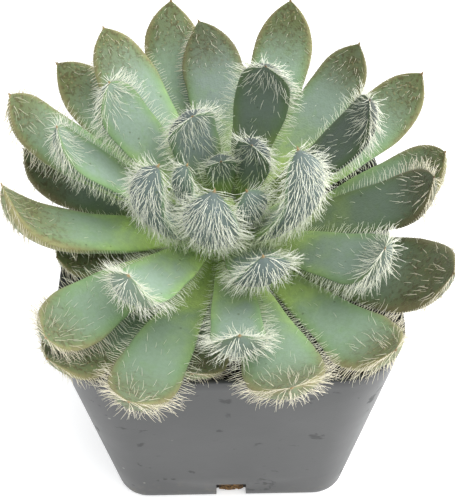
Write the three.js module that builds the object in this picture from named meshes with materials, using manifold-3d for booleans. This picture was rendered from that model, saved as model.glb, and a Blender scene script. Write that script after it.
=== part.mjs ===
// A small rosette succulent growing in a square plastic nursery pot.
// Millimetres, +Z up. The origin is the middle of the pot's underside, +X is to the viewer's
// right and +Y points away from the viewer, towards the back of the plant.
import * as THREE from 'three';
import Module from 'manifold-3d';
import { mergeVertices } from 'three/addons/utils/BufferGeometryUtils.js';

const wasm = await Module();
wasm.setup();

// ---- Pot -------------------------------------------------------------------------------
const POT_HEIGHT = 59;
const POT_RIM_WIDTH = 64;
const POT_FOOT_WIDTH = 52;
const RIM_CORNER_RADIUS = 12.5;
const FOOT_CORNER_RADIUS = 7.5;
const WALL_THICKNESS = 1;
const FLOOR_THICKNESS = 1.2;
// One drain notch in the middle of each side, cut into both the wall and the floor.
const NOTCH_WIDTH = 6.6;
const NOTCH_HEIGHT = 7;
const NOTCH_DEPTH = 4;

// ---- Soil ------------------------------------------------------------------------------
const SOIL_BELOW_RIM = 6;
const CLEARANCE = 0.3;

// ---- Plant -----------------------------------------------------------------------------
// The plant's own frame has its origin on the stem's axis at the crown, and leans forward.
const CROWN_ABOVE_SOIL = 2;
const CROWN_BEHIND_CENTRE = 2;
const FORWARD_LEAN_DEGREES = 16;
const ROSETTE_SPREAD = 86;
// The leaf table and the stem sizes below are written for a rosette of this spread.
const TABLE_SPREAD = 86;

const STEM_HEIGHT = 19;
const STEM_CROWN_RADIUS = 6.5;
const STEM_TOP_RADIUS = 1.6;
// Above 1, the stem narrows slowly at first.
const STEM_TAPER = 1.3;
// From the stem's side to the middle of a leaf's base.
const LEAF_SETBACK = 0.5;
const ROOT_DEPTH = 10;
const ROOT_TIP_RADIUS = 3;

// How leaves of one ring are shaped. base is the width where the leaf meets the stem, as a
// share of its full width, and a larger fullness widens it sooner from there. curl is how
// many degrees the leaf straightens along its length, and tipCurl how many more its tip
// turns up towards the stem's axis.
const RINGS = {
  heart: { thickness: 2.6, base: 0.42, fullness: 2.2, curl: 14, tipCurl: 27 },
  inner: { thickness: 3.4, base: 0.36, fullness: 2.2, curl: 16, tipCurl: 38 },
  middle: { thickness: 3.8, base: 0.28, fullness: 1.5, curl: 16, tipCurl: 38 },
  outer: { thickness: 4, base: 0.26, fullness: 1.25, curl: 16, tipCurl: 38 },
  lower: { thickness: 4, base: 0.28, fullness: 1.6, curl: 16, tipCurl: 38 },
  old: { thickness: 3, base: 0.28, fullness: 1.6, curl: 18, tipCurl: 38 },
};

// Each leaf of the rosette, from the heart outwards.
// around: the way it points, in degrees from +X. up: height of its base above the crown.
// lean: degrees from the stem's axis. bow, sweep: how far its middle and its tip swing
// sideways. twist: degrees that its blade turns about its own length.
// A leaf may also give its own value for anything that its ring sets.
const LEAVES = [
  { ring: 'heart', around: 205, up: 17.4, lean: 16.2, length: 17, width: 6.4,
    sweep: -3, curl: 30, thickness: 3 },
  { ring: 'heart', around: 102, up: 16.2, lean: 13, length: 11, width: 5.6 },
  { ring: 'heart', around: 307.3, up: 17.2, lean: 14.5, length: 16, width: 6.4,
    curl: 30, thickness: 3 },
  { ring: 'inner', around: 50.5, up: 15, lean: 16.6, length: 16.5, width: 7.2, tipCurl: 24 },
  { ring: 'inner', around: 253, up: 15.6, lean: 16.6, length: 24, width: 9.4,
    curl: 40, thickness: 4.8, fullness: 2.6 },
  { ring: 'inner', around: 208, up: 14.6, lean: 24, length: 26, width: 9.4,
    sweep: -3.6, curl: 50, thickness: 4.8, fullness: 2.6 },
  { ring: 'inner', around: 322, up: 15.4, lean: 20.4, length: 28, width: 9.6,
    sweep: 6.3, curl: 50, thickness: 4.8, fullness: 2.6 },
  { ring: 'inner', around: 121.7, up: 14.2, lean: 25, length: 22, width: 9.5, curl: 24, tipCurl: 30 },
  { ring: 'inner', around: 289.4, up: 13.7, lean: 44.1, length: 24, width: 10, curl: 24, tipCurl: 50 },
  { ring: 'middle', around: 67.8, up: 12, lean: 35.8, length: 30, width: 9.8 },
  { ring: 'middle', around: 143.4, up: 12.2, lean: 46.4, length: 33, width: 9.2 },
  { ring: 'middle', around: 164.3, up: 10, lean: 53.6, length: 35.5, width: 8.2, twist: 18 },
  { ring: 'middle', around: 232, up: 12.4, lean: 51.7, length: 33, width: 9.8, tipCurl: 50 },
  { ring: 'middle', around: 272.9, up: 11.4, lean: 58.9, length: 34, width: 9.4, tipCurl: 50 },
  { ring: 'middle', around: 329.6, up: 11, lean: 57.3, length: 34, width: 10.6, tipCurl: 44 },
  { ring: 'middle', around: 27.2, up: 10.7, lean: 53.1, length: 34, width: 10, twist: -22, curl: 30 },
  { ring: 'outer', around: 97, up: 10.7, lean: 83, length: 38.5, width: 12, bow: -1.8 },
  { ring: 'outer', around: 123, up: 7.4, lean: 72, length: 42, width: 12 },
  { ring: 'outer', around: 51, up: 9, lean: 76, length: 40, width: 11 },
  { ring: 'outer', around: 357.1, up: 8.8, lean: 59.2, length: 39, width: 10.6, curl: 22 },
  { ring: 'outer', around: 310.5, up: 7.2, lean: 65.9, length: 42, width: 12.2,
    base: 0.2, fullness: 0.9 },
  { ring: 'outer', around: 283.9, up: 9.4, lean: 64.2, length: 41, width: 13.5, bow: 0.8,
    base: 0.2, fullness: 0.9 },
  { ring: 'outer', around: 247.6, up: 8.7, lean: 68, length: 43, width: 11.5, bow: -0.8 },
  { ring: 'outer', around: 210, up: 5.8, lean: 64.4, length: 41, width: 11.6, sweep: 8.8 },
  { ring: 'outer', around: 158, up: 6.8, lean: 60, length: 45, width: 10.5 },
  { ring: 'lower', around: 73, up: 4.6, lean: 74, length: 44.5, width: 12.3, bow: -0.6 },
  { ring: 'lower', around: 36, up: 7.4, lean: 82, length: 45, width: 12 },
  { ring: 'lower', around: 103, up: 3.1, lean: 74, length: 45, width: 12, bow: 1.5 },
  { ring: 'lower', around: 10, up: 1, lean: 61, length: 42, width: 12 },
  { ring: 'lower', around: 335, up: 4.4, lean: 64, length: 43, width: 15, bow: 1.2 },
  { ring: 'lower', around: 179, up: 4.8, lean: 63, length: 41, width: 12, bow: 3, twist: 28 },
  { ring: 'lower', around: 135, up: 5.3, lean: 82, length: 44, width: 12, bow: -1.8 },
  { ring: 'lower', around: 161, up: 3, lean: 74, length: 38, width: 11 },
  { ring: 'old', around: 224, up: 2.4, lean: 68, length: 42, width: 12.5 },
  { ring: 'old', around: 258, up: 5.1, lean: 72, length: 29, width: 10.5 },
  { ring: 'old', around: 193, up: 1.8, lean: 73, length: 29, width: 9.5, bow: -1.5 },
  { ring: 'old', around: 86, up: 1.5, lean: 84, length: 34, width: 11 },
  { ring: 'old', around: 54, up: 1.8, lean: 84, length: 34, width: 11 },
  { ring: 'old', around: 118, up: 1.5, lean: 86, length: 34, width: 11 },
];

// ---- Shape of one leaf along its length, from 0 at the stem to 1 at the tip ----------------
const SHOULDER = 0.72;
const ROUNDING = 3;
const POINTEDNESS = 0.12;
const THICKEST = 0.6;
const CURL_START = 0.62;
const SHARE_ABOVE_EDGE = 0.3;
const BASE_THICKNESS_SHARE = 0.42;

// ---- Mesh fineness ---------------------------------------------------------------------
const LEAF_SIDES = 8;
const LEAF_STATIONS = 10;
const CENTRELINE_STEPS = 60;
const CORNER_SIDES = 6;
const STEM_SIDES = 24;

// Everything worked out from the sizes above.
const grow = ROSETTE_SPREAD / TABLE_SPREAD;
const soilTop = POT_HEIGHT - SOIL_BELOW_RIM;
const stemHeight = STEM_HEIGHT * grow;
const crownRadius = STEM_CROWN_RADIUS * grow;
const stemTopRadius = STEM_TOP_RADIUS * grow;

// ---- Helpers ---------------------------------------------------------------------------

// Gives every vertex of a closed geometry a new place and welds the vertices that meet.
function reshape(geometry, place) {
  const points = geometry.getAttribute('position');
  const corner = new THREE.Vector3();
  for (let i = 0; i < points.count; i += 1) {
    corner.fromBufferAttribute(points, i);
    const moved = place(corner);
    points.setXYZ(i, moved.x, moved.y, moved.z);
  }
  geometry.deleteAttribute('normal');
  geometry.deleteAttribute('uv');
  return mergeVertices(geometry, 1e-4);
}

// Turns a closed, welded geometry into a solid that can be cut and joined.
function toSolid(geometry) {
  const mesh = new wasm.Mesh({
    numProp: 3,
    vertProperties: new Float32Array(geometry.getAttribute('position').array),
    triVerts: new Uint32Array(geometry.index.array),
  });
  return new wasm.Manifold(mesh);
}

// Turns a solid back into a geometry.
function toGeometry(solid) {
  const mesh = solid.getMesh();
  const geometry = new THREE.BufferGeometry();
  geometry.setAttribute('position', new THREE.BufferAttribute(mesh.vertProperties, 3));
  geometry.setIndex(new THREE.BufferAttribute(mesh.triVerts, 1));
  geometry.computeVertexNormals();
  return geometry;
}

// A named mesh with a plain material of its own.
function namedMesh(name, geometry, color, roughness) {
  geometry.computeVertexNormals();
  const material = new THREE.MeshStandardMaterial({ color, roughness, metalness: 0 });
  const mesh = new THREE.Mesh(geometry, material);
  mesh.name = name;
  return mesh;
}

// ---- Pot and soil ----------------------------------------------------------------------

// Half the pot's outside width at height z. The walls slope evenly from foot to rim.
function potHalfWidth(z) {
  return THREE.MathUtils.lerp(POT_FOOT_WIDTH, POT_RIM_WIDTH, z / POT_HEIGHT) / 2;
}

function potCornerRadius(z) {
  return THREE.MathUtils.lerp(FOOT_CORNER_RADIUS, RIM_CORNER_RADIUS, z / POT_HEIGHT);
}

// A block that fills the pot's outer shape from z = bottom to z = top, drawn in by inset.
function taperedBlock(bottom, top, inset) {
  const pointsAround = 4 * (CORNER_SIDES + 1);
  const drum = new THREE.CylinderGeometry(1, 1, 2, pointsAround, 1);
  drum.rotateX(Math.PI / 2);
  return reshape(drum, (corner) => {
    const z = corner.z > 0 ? top : bottom;
    if (Math.hypot(corner.x, corner.y) < 0.5) {
      return new THREE.Vector3(0, 0, z);
    }
    const turn = (Math.atan2(corner.y, corner.x) / (2 * Math.PI) + 1) % 1;
    const index = Math.round(turn * pointsAround) % pointsAround;
    const side = Math.floor(index / (CORNER_SIDES + 1));
    const share = (index % (CORNER_SIDES + 1)) / CORNER_SIDES;
    const angle = (side + share) * Math.PI / 2;
    const radius = potCornerRadius(z) - inset;
    const centre = potHalfWidth(z) - potCornerRadius(z);
    const alongX = side === 0 || side === 3 ? centre : -centre;
    const alongY = side < 2 ? centre : -centre;
    return new THREE.Vector3(
      alongX + radius * Math.cos(angle),
      alongY + radius * Math.sin(angle),
      z,
    );
  });
}

function potSolid() {
  let solid = toSolid(taperedBlock(0, POT_HEIGHT, 0));
  // The hollow runs past the rim, so that the cut leaves no skin over the mouth.
  const past = 1;
  solid = solid.subtract(toSolid(taperedBlock(FLOOR_THICKNESS, POT_HEIGHT + past, WALL_THICKNESS)));
  for (let side = 0; side < 4; side += 1) {
    const cutter = new THREE.BoxGeometry(2 * NOTCH_DEPTH, NOTCH_WIDTH, 2 * NOTCH_HEIGHT);
    cutter.translate(POT_FOOT_WIDTH / 2, 0, 0);
    cutter.rotateZ(side * Math.PI / 2);
    solid = solid.subtract(toSolid(reshape(cutter, (corner) => corner)));
  }
  return solid;
}

// ---- Stem ------------------------------------------------------------------------------

// The stem's radius at a height above the crown, in the plant's frame.
function stemRadius(height) {
  const share = THREE.MathUtils.clamp(height / stemHeight, 0, 1);
  return THREE.MathUtils.lerp(crownRadius, stemTopRadius, share ** STEM_TAPER);
}

// The stem and its root end, fattened all over by extra.
function stemGeometry(extra) {
  const rows = 8;
  const profile = [new THREE.Vector2(0, -ROOT_DEPTH - extra)];
  profile.push(new THREE.Vector2(ROOT_TIP_RADIUS + extra, -ROOT_DEPTH - extra));
  for (let row = 0; row <= rows; row += 1) {
    const height = stemHeight * row / rows;
    profile.push(new THREE.Vector2(stemRadius(height) + extra, height));
  }
  profile.push(new THREE.Vector2(0, stemHeight + extra));
  const lathe = new THREE.LatheGeometry(profile, STEM_SIDES);
  lathe.rotateX(Math.PI / 2);
  return reshape(lathe, (corner) => corner);
}

// Soil fills the pot up to its surface and leaves a socket for the root. plantPlace is the
// matrix that takes the plant's frame to the pot's.
function makeSoil(plantPlace) {
  const inset = WALL_THICKNESS + CLEARANCE;
  const fill = toSolid(taperedBlock(FLOOR_THICKNESS + CLEARANCE, soilTop, inset));
  const root = stemGeometry(CLEARANCE).applyMatrix4(plantPlace);
  return toGeometry(fill.subtract(toSolid(root)));
}

// ---- Leaves ----------------------------------------------------------------------------

// Half the blade's width at s, as a share of its greatest half width.
function widthShare(shape, s) {
  if (s < SHOULDER) {
    return shape.base + (1 - shape.base) * (1 - (1 - s / SHOULDER) ** shape.fullness);
  }
  const pastShoulder = (s - SHOULDER) / (1 - SHOULDER);
  const rounded = 1 - pastShoulder ** ROUNDING;
  return THREE.MathUtils.lerp(rounded, 1 - pastShoulder, POINTEDNESS);
}

// The blade's thickness at s, as a share of its greatest thickness.
function thicknessShare(s) {
  const rise = Math.sin(Math.PI / 2 * Math.min(s / THICKEST, 1));
  const pastShoulder = Math.max(s - SHOULDER, 0) / (1 - SHOULDER);
  return THREE.MathUtils.lerp(BASE_THICKNESS_SHARE, 1, rise) * (1 - pastShoulder ** ROUNDING);
}

// The leaf's angle from the stem's axis at s.
function bendAngle(shape, s) {
  const turnUp = shape.tipCurl * THREE.MathUtils.smoothstep(s, CURL_START, 1);
  return THREE.MathUtils.degToRad(shape.lean + shape.curl * (0.5 - s) - turnUp);
}

// The middle line of a leaf and the two directions across it, at s. The leaf's own frame
// has x pointing out from the stem, z along the stem and its base on the stem's side.
function leafFrame(shape, s) {
  const { length, bow = 0, sweep = 0, twist = 0 } = shape;
  let out = stemRadius(shape.up * grow) + LEAF_SETBACK;
  let rise = 0;
  for (let step = 0; step < CENTRELINE_STEPS; step += 1) {
    const angle = bendAngle(shape, s * (step + 0.5) / CENTRELINE_STEPS);
    out += Math.sin(angle) * s * length * grow / CENTRELINE_STEPS;
    rise += Math.cos(angle) * s * length * grow / CENTRELINE_STEPS;
  }
  // 6.75 s s (1 - s) is a smooth hump that is 1 at two thirds of the way along.
  const sideways = grow * (6.75 * bow * s * s * (1 - s) + sweep * s * s);
  const sidewaysSlope = (6.75 * bow * (2 * s - 3 * s * s) + 2 * sweep * s) / length;
  const angle = bendAngle(shape, s);
  const along = new THREE.Vector3(Math.sin(angle), 0, Math.cos(angle));
  const facing = new THREE.Vector3(-Math.cos(angle), 0, Math.sin(angle));
  const across = new THREE.Vector3(0, 1, 0).addScaledVector(along, -sidewaysSlope).normalize();
  const turn = THREE.MathUtils.degToRad(twist) * THREE.MathUtils.smoothstep(s, 0, 0.5);
  return {
    middle: new THREE.Vector3(out, sideways, rise),
    across: across.clone().multiplyScalar(Math.cos(turn)).addScaledVector(facing, Math.sin(turn)),
    facing: facing.clone().multiplyScalar(Math.cos(turn)).addScaledVector(across, -Math.sin(turn)),
  };
}

// A closed blade: flattish above, rounded below, blunt at the stem and pointed at the tip.
function leafGeometry(leaf) {
  const shape = { ...RINGS[leaf.ring], ...leaf };
  const ball = new THREE.SphereGeometry(1, LEAF_SIDES, LEAF_STATIONS);
  const stations = LEAF_STATIONS - 1;
  return reshape(ball, (corner) => {
    const polar = Math.acos(THREE.MathUtils.clamp(corner.y, -1, 1));
    const row = Math.round(polar / Math.PI * LEAF_STATIONS);
    const share = Math.max(row - 1, 0) / stations;
    // Stations crowd towards the tip.
    const s = 1 - (1 - share) ** 1.4;
    const { middle, across, facing } = leafFrame(shape, s);
    if (row === 0 || row === LEAF_STATIONS) {
      return middle;
    }
    const angle = Math.atan2(corner.z, corner.x);
    const halfWidth = shape.width * grow / 2 * widthShare(shape, s);
    const thickness = shape.thickness * grow * thicknessShare(s);
    const depth = Math.sin(angle) > 0 ? SHARE_ABOVE_EDGE : 1 - SHARE_ABOVE_EDGE;
    return middle
      .addScaledVector(across, halfWidth * Math.cos(angle))
      .addScaledVector(facing, thickness * depth * Math.sin(angle));
  });
}

// ---- Assembly --------------------------------------------------------------------------

// How far the crown has to rise for every leaf to clear the pot's rim.
function riseOverRim(leaves, pot) {
  const solids = leaves.map((leaf) => (
    toSolid(mergeVertices(leaf.geometry.clone().applyMatrix4(leaf.matrixWorld)))));
  const fouls = (rise) => solids.some((solid) => (
    solid.translate(0, 0, rise).minGap(pot, CLEARANCE) < CLEARANCE / 2));
  let rise = 0;
  while (fouls(rise)) {
    rise += CLEARANCE;
  }
  return rise;
}

const plant = new THREE.Group();
plant.position.set(0, CROWN_BEHIND_CENTRE, soilTop + CROWN_ABOVE_SOIL);
plant.rotation.x = THREE.MathUtils.degToRad(FORWARD_LEAN_DEGREES);

const countInRing = {};
for (const leaf of LEAVES) {
  countInRing[leaf.ring] = (countInRing[leaf.ring] ?? 0) + 1;
  const name = `leaf_${leaf.ring}_${countInRing[leaf.ring]}`;
  const mesh = namedMesh(name, leafGeometry(leaf), 0x7b937c, 0.6);
  mesh.rotation.z = THREE.MathUtils.degToRad(leaf.around);
  mesh.position.z = leaf.up * grow;
  plant.add(mesh);
}
plant.updateMatrixWorld(true);

const pot = potSolid();
plant.position.z += riseOverRim(plant.children, pot);
plant.updateMatrixWorld(true);
plant.add(namedMesh('stem', stemGeometry(0), 0x7d8f55, 0.7));

const object = new THREE.Group();
object.add(plant);
object.add(namedMesh('pot', toGeometry(pot), 0x4b4d50, 0.42));
object.add(namedMesh('soil', makeSoil(plant.matrixWorld), 0x1b1713, 0.95));

export default object;
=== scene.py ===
"""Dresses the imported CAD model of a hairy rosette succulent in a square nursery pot.

Run as a script inside Blender. Lengths in the code are in millimetres until a mesh is
written, where MM turns them into metres. The frame is the CAD model's: the origin is the
middle of the pot's underside, +Z is up and +Y points to the back of the plant.
"""

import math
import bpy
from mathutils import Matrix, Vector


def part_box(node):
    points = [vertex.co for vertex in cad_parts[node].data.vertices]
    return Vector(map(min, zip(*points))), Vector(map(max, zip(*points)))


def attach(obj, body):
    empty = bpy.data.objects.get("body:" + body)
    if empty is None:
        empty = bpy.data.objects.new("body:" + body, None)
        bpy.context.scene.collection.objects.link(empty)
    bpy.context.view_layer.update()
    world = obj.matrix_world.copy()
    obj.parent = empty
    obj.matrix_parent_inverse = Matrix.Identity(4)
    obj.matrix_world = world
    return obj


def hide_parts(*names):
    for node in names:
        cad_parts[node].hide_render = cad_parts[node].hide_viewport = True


bl_info = {
    "name": "Potted Rosette Succulent",
    "version": (1, 0, 0),
    "blender": (4, 5, 0),
    "location": "View3D > Sidebar > Succulent",
    "description": "Builds the skins, hairs, soil, pot and stage of a potted rosette succulent",
    "category": "Object",
}

import bmesh
import bpy
import numpy as np
from bpy.props import FloatProperty, FloatVectorProperty, IntProperty, PointerProperty
from mathutils import Matrix, Vector, noise

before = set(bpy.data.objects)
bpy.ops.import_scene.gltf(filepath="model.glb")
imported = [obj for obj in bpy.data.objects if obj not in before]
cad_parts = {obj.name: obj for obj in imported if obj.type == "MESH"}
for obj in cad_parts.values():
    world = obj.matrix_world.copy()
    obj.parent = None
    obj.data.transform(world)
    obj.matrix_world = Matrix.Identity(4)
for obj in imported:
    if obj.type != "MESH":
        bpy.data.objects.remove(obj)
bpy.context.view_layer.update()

MM = 0.001
BODY = "root"

# ---- Sizes shared with the CAD model, in millimetres -----------------------------------------
POT_LOW, POT_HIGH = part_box("pot")
POT_HEIGHT = POT_HIGH[2] / MM
POT_RIM_WIDTH = (POT_HIGH[0] - POT_LOW[0]) / MM
POT_FOOT_WIDTH = 52.0
RIM_CORNER_RADIUS = 12.5
FOOT_CORNER_RADIUS = 7.5
WALL_THICKNESS = 1.0
FLOOR_THICKNESS = 1.2
NOTCH_WIDTH = 6.6
NOTCH_HEIGHT = 7.0
NOTCH_DEPTH = 4.0
CLEARANCE = 0.3

SOIL_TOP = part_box("soil")[1][2] / MM
CROWN_ABOVE_SOIL = 2.0
CROWN_BEHIND_CENTRE = 2.0
FORWARD_LEAN = math.radians(16.0)

STEM_HEIGHT = 19.0
STEM_CROWN_RADIUS = 6.5
STEM_TOP_RADIUS = 1.6
ROOT_DEPTH = 10.0
ROOT_TIP_RADIUS = 3.0
LEAF_SETBACK = 0.5

# How leaves of one ring are shaped, as in the CAD model, and how hairy and how worn they are.
# thickness: in millimetres. base: width at the stem, as a share of the greatest width.
# fullness: how quickly the leaf widens. curl, tip_curl: degrees it bends up over its length and
# again near the tip.
# bulge: how far the upper face stands above the edges, as a share of the thickness.
# under, face, tuft: how densely hairs stand on the outer face, the inner face and the inner
# face's tip, from 0 to 1. reach: hair length, as a share of the full length.
# worn: how brown and rough the tip is. grey: how grey the bloom is.
RINGS = {
    "heart": dict(thickness=2.6, base=0.42, fullness=2.2, curl=14, tip_curl=27, bulge=0.3,
                  under=0.65, face=0.3, tuft=0.8, reach=0.78, worn=0.0, grey=0.8),
    "inner": dict(thickness=3.4, base=0.36, fullness=2.2, curl=16, tip_curl=38, bulge=0.22,
                  under=0.75, face=0.2, tuft=0.8, reach=0.85, worn=0.0, grey=1.0),
    "middle": dict(thickness=3.8, base=0.28, fullness=1.5, curl=16, tip_curl=38, bulge=0.18,
                   under=0.45, face=0.05, tuft=0.6, reach=0.92, worn=0.1, grey=0.8),
    "outer": dict(thickness=4.0, base=0.26, fullness=1.25, curl=16, tip_curl=38, bulge=0.3,
                  under=0.12, face=0.04, tuft=0.2, reach=0.85, worn=0.95, grey=0.3),
    "lower": dict(thickness=4.0, base=0.28, fullness=1.6, curl=16, tip_curl=38, bulge=0.3,
                  under=0.08, face=0.03, tuft=0.16, reach=0.7, worn=1.0, grey=0.3),
    "old": dict(thickness=3.0, base=0.28, fullness=1.6, curl=18, tip_curl=38, bulge=0.3,
                under=0.08, face=0.04, tuft=0.2, reach=0.6, worn=1.0, grey=0.1),
}

# What the three large inner leaves in front of the heart share.
HOODED = {"curl": 50, "thickness": 4.8, "fullness": 2.6}

# Each leaf, from the heart outwards, as in the CAD model: ring, degrees around the stem, height
# above the crown, degrees of lean from the stem, length, width and whatever it does differently
# from its ring. Its lightness, 1 being as its ring, is painted light and shade: it darkens leaves
# turned from the lamps and lightens leaves that others shade. wear: how far its worn end spreads.
LEAVES = [
    ("heart", 205, 17.4, 16.2, 17, 6.4, {"sweep": -3, "curl": 30, "thickness": 3}),
    ("heart", 102, 16.2, 13, 11, 5.6, {"tone": 0.6}),
    ("heart", 307.3, 17.2, 14.5, 16, 6.4, {"curl": 30, "thickness": 3}),
    ("inner", 50.5, 15, 16.6, 16.5, 7.2, {"tip_curl": 24, "tone": 0.5}),
    ("inner", 253, 15.6, 16.6, 24, 9.4, {**HOODED, "curl": 40}),
    ("inner", 208, 14.6, 24, 26, 9.4, {**HOODED, "sweep": -3.6}),
    ("inner", 322, 15.4, 20.4, 28, 9.6, {**HOODED, "sweep": 6.3}),
    ("inner", 121.7, 14.2, 25, 22, 9.5, {"curl": 24, "tip_curl": 30, "tone": 0.72}),
    ("inner", 289.4, 13.7, 44.1, 24, 10, {"curl": 24, "tip_curl": 50}),
    ("middle", 67.8, 12, 35.8, 30, 9.8, {"tone": 0.5}),
    ("middle", 143.4, 12.2, 46.4, 33, 9.2, {"tone": 1.05}),
    ("middle", 164.3, 10, 53.6, 35.5, 8.2, {"twist": 18, "tone": 1.15}),
    ("middle", 232, 12.4, 51.7, 33, 9.8, {"tip_curl": 50, "tone": 1.4}),
    ("middle", 272.9, 11.4, 58.9, 34, 9.4, {"tip_curl": 50}),
    ("middle", 329.6, 11, 57.3, 34, 10.6, {"tip_curl": 44, "tone": 0.75}),
    ("middle", 27.2, 10.7, 53.1, 34, 10, {"twist": -22, "curl": 30, "tone": 0.3}),
    ("outer", 97, 10.7, 83, 38.5, 12, {"bow": -1.8, "reach": 0.5, "tone": 0.7, "grey": 1.0}),
    ("outer", 123, 7.4, 72, 42, 12, {"reach": 0.5, "grey": 0.7}),
    ("outer", 51, 9, 76, 40, 11, {"reach": 0.5, "tone": 0.78, "grey": 0.7}),
    ("outer", 357.1, 8.8, 59.2, 39, 10.6, {"curl": 22, "tone": 0.45}),
    ("outer", 310.5, 7.2, 65.9, 42, 12.2, {"base": 0.2, "fullness": 0.9}),
    ("outer", 283.9, 9.4, 64.2, 41, 13.5, {"bow": 0.8, "base": 0.2, "fullness": 0.9}),
    ("outer", 247.6, 8.7, 68, 43, 11.5, {"bow": -0.8, "tone": 0.9}),
    ("outer", 210, 5.8, 64.4, 41, 11.6, {"sweep": 8.8, "tone": 1.15}),
    ("outer", 158, 6.8, 60, 45, 10.5, {}),
    ("lower", 73, 4.6, 74, 44.5, 12.3, {"bow": -0.6, "reach": 0.5, "grey": 0.5}),
    ("lower", 36, 7.4, 82, 45, 12, {"reach": 0.5}),
    ("lower", 103, 3.1, 74, 45, 12, {"bow": 1.5, "reach": 0.5, "grey": 0.3}),
    ("lower", 10, 1, 61, 42, 12, {"reach": 0.6}),
    ("lower", 335, 4.4, 64, 43, 15, {"bow": 1.2, "tone": 0.58, "wear": 0.12}),
    ("lower", 179, 4.8, 63, 41, 12, {"bow": 3, "twist": 28, "wear": 0.14, "tone": 1.3}),
    ("lower", 135, 5.3, 82, 44, 12, {"bow": -1.8, "reach": 0.5}),
    ("lower", 161, 3, 74, 38, 11, {"tone": 0.55, "reach": 0.4, "wear": 0.1}),
    ("old", 224, 2.4, 68, 42, 12.5, {"wear": 0.15}),
    ("old", 258, 5.1, 72, 29, 10.5, {"wear": 0.15}),
    ("old", 193, 1.8, 73, 29, 9.5, {"bow": -1.5, "wear": 0.5}),
    ("old", 86, 1.5, 84, 34, 11, {}),
    ("old", 54, 1.8, 84, 34, 11, {}),
    ("old", 118, 1.5, 86, 34, 11, {}),
]

SHOULDER = 0.72
ROUNDING = 3.0
POINTEDNESS = 0.12
THICKEST = 0.6
CURL_START = 0.62
BASE_THICKNESS_SHARE = 0.42
SHARE_BELOW_EDGE = 0.7


# ---- Properties ------------------------------------------------------------------------------
def colour_setting(name, description, default):
    """A colour that can be picked in the panel."""
    return FloatVectorProperty(
        name=name, description=description, subtype="COLOR", size=3, min=0.0, max=1.0,
        default=default)


def length_setting(name, description, millimetres):
    """A length, given here in millimetres and kept in metres."""
    return FloatProperty(
        name=name, description=description, unit="LENGTH", min=0.0, default=millimetres * MM)


def plain_setting(name, description, default, unit="NONE"):
    """A number that is not a length or an angle."""
    return FloatProperty(
        name=name, description=description, unit=unit, min=0.0, default=default)


def angle_setting(name, description, degrees):
    """An angle, given here in degrees."""
    return FloatProperty(
        name=name, description=description, subtype="ANGLE", default=math.radians(degrees))


class PotSettings(bpy.types.PropertyGroup):
    colour: colour_setting(
        "Plastic Colour", "Colour of the moulded plastic", (0.042, 0.043, 0.043))
    edge_radius: length_setting("Edge Radius", "Rounding of the pot's cut edges", 0.18)
    corner_steps: IntProperty(
        name="Corner Steps", description="Flat steps in each rounded corner", default=14, min=2)


class SoilSettings(bpy.types.PropertyGroup):
    colour: colour_setting("Soil Colour", "Colour of the moist potting mix", (0.012, 0.009, 0.007))
    grain_size: length_setting("Grain Size", "Typical width of a loose crumb", 1.1)
    grain_spacing: length_setting("Grain Spacing", "Least distance between crumbs", 0.9)
    relief: length_setting("Relief", "Height of the soil's lumps", 1.3)


class LeafSettings(bpy.types.PropertyGroup):
    stations: IntProperty(
        name="Stations", description="Cross sections along each leaf", default=54, min=8)
    sides: IntProperty(
        name="Sides", description="Points around each cross section", default=28, min=8)
    base_colour: colour_setting(
        "Base Colour", "Lime green where the leaf meets the stem", (0.50, 0.69, 0.17))
    green_colour: colour_setting(
        "Green Colour", "Fresh green where there is little bloom", (0.20, 0.335, 0.145))
    face_colour: colour_setting(
        "Face Colour", "Powdery grey-green of a grown leaf", (0.245, 0.345, 0.235))
    young_colour: colour_setting(
        "Young Colour", "Powdery lilac-grey of an inner leaf", (0.30, 0.375, 0.36))
    # Partly the outer face's own dark grey and partly painted shade for a face turned from the
    # lamps.
    slate_and_shade_colour: colour_setting(
        "Slate and Shade Colour", "Dark grey of an inner leaf's outer face", (0.10, 0.132, 0.128))
    old_colour: colour_setting(
        "Old Colour", "Dull olive of a leaf's worn end", (0.15, 0.175, 0.065))
    tip_colour: colour_setting(
        "Point Colour", "Rusty colour of the small point at the tip", (0.30, 0.21, 0.10))


class HairSettings(bpy.types.PropertyGroup):
    length: length_setting("Length", "Full length of a hair", 3.1)
    root_radius: length_setting("Root Radius", "Radius where a hair leaves the skin", 0.062)
    end_radius: length_setting("End Radius", "Radius at a hair's blunt end", 0.022)
    spacing: length_setting("Spacing", "Least distance between hairs on a face", 0.37)
    margin_spacing: length_setting(
        "Margin Spacing", "Distance between hairs along a leaf's edge", 0.54)
    bend: plain_setting(
        "Bend", "How far a hair's end curls over, as a share of its length", 0.3)
    untidiness: plain_setting(
        "Untidiness", "How far hairs stray from the way they are combed", 0.26)
    colour: colour_setting("Hair Colour", "Cream-white of a fresh hair", (0.88, 0.90, 0.76))


class StageSettings(bpy.types.PropertyGroup):
    elevation: angle_setting("Elevation", "Height of the view above the horizon", 50.03)
    distance: length_setting(
        "Distance", "From the camera to the middle of the pot's rim", 174.2)
    view_angle: angle_setting(
        "View Angle", "Angle that the picture's longer side takes in", 31.33)
    key_power: plain_setting(
        "Key Power", "Power of the large light above and to the right", 4.4, "POWER")
    side_power: plain_setting("Side Power", "Power of the low light to the right", 2.6, "POWER")
    ambient: plain_setting("Ambient", "Strength of the light from all round", 0.8)


# ---- Mesh helpers ----------------------------------------------------------------------------
def mesh_object(name, points, faces, smooth=True):
    """A new object from points in millimetres, at the origin and unturned."""
    mesh = bpy.data.meshes.new(name)
    mesh.from_pydata([tuple(MM * float(c) for c in p) for p in points], [], faces)
    mesh.validate()
    mesh.shade_smooth() if smooth else mesh.shade_flat()
    piece = bpy.data.objects.new(name, mesh)
    bpy.context.scene.collection.objects.link(piece)
    return piece


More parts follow.
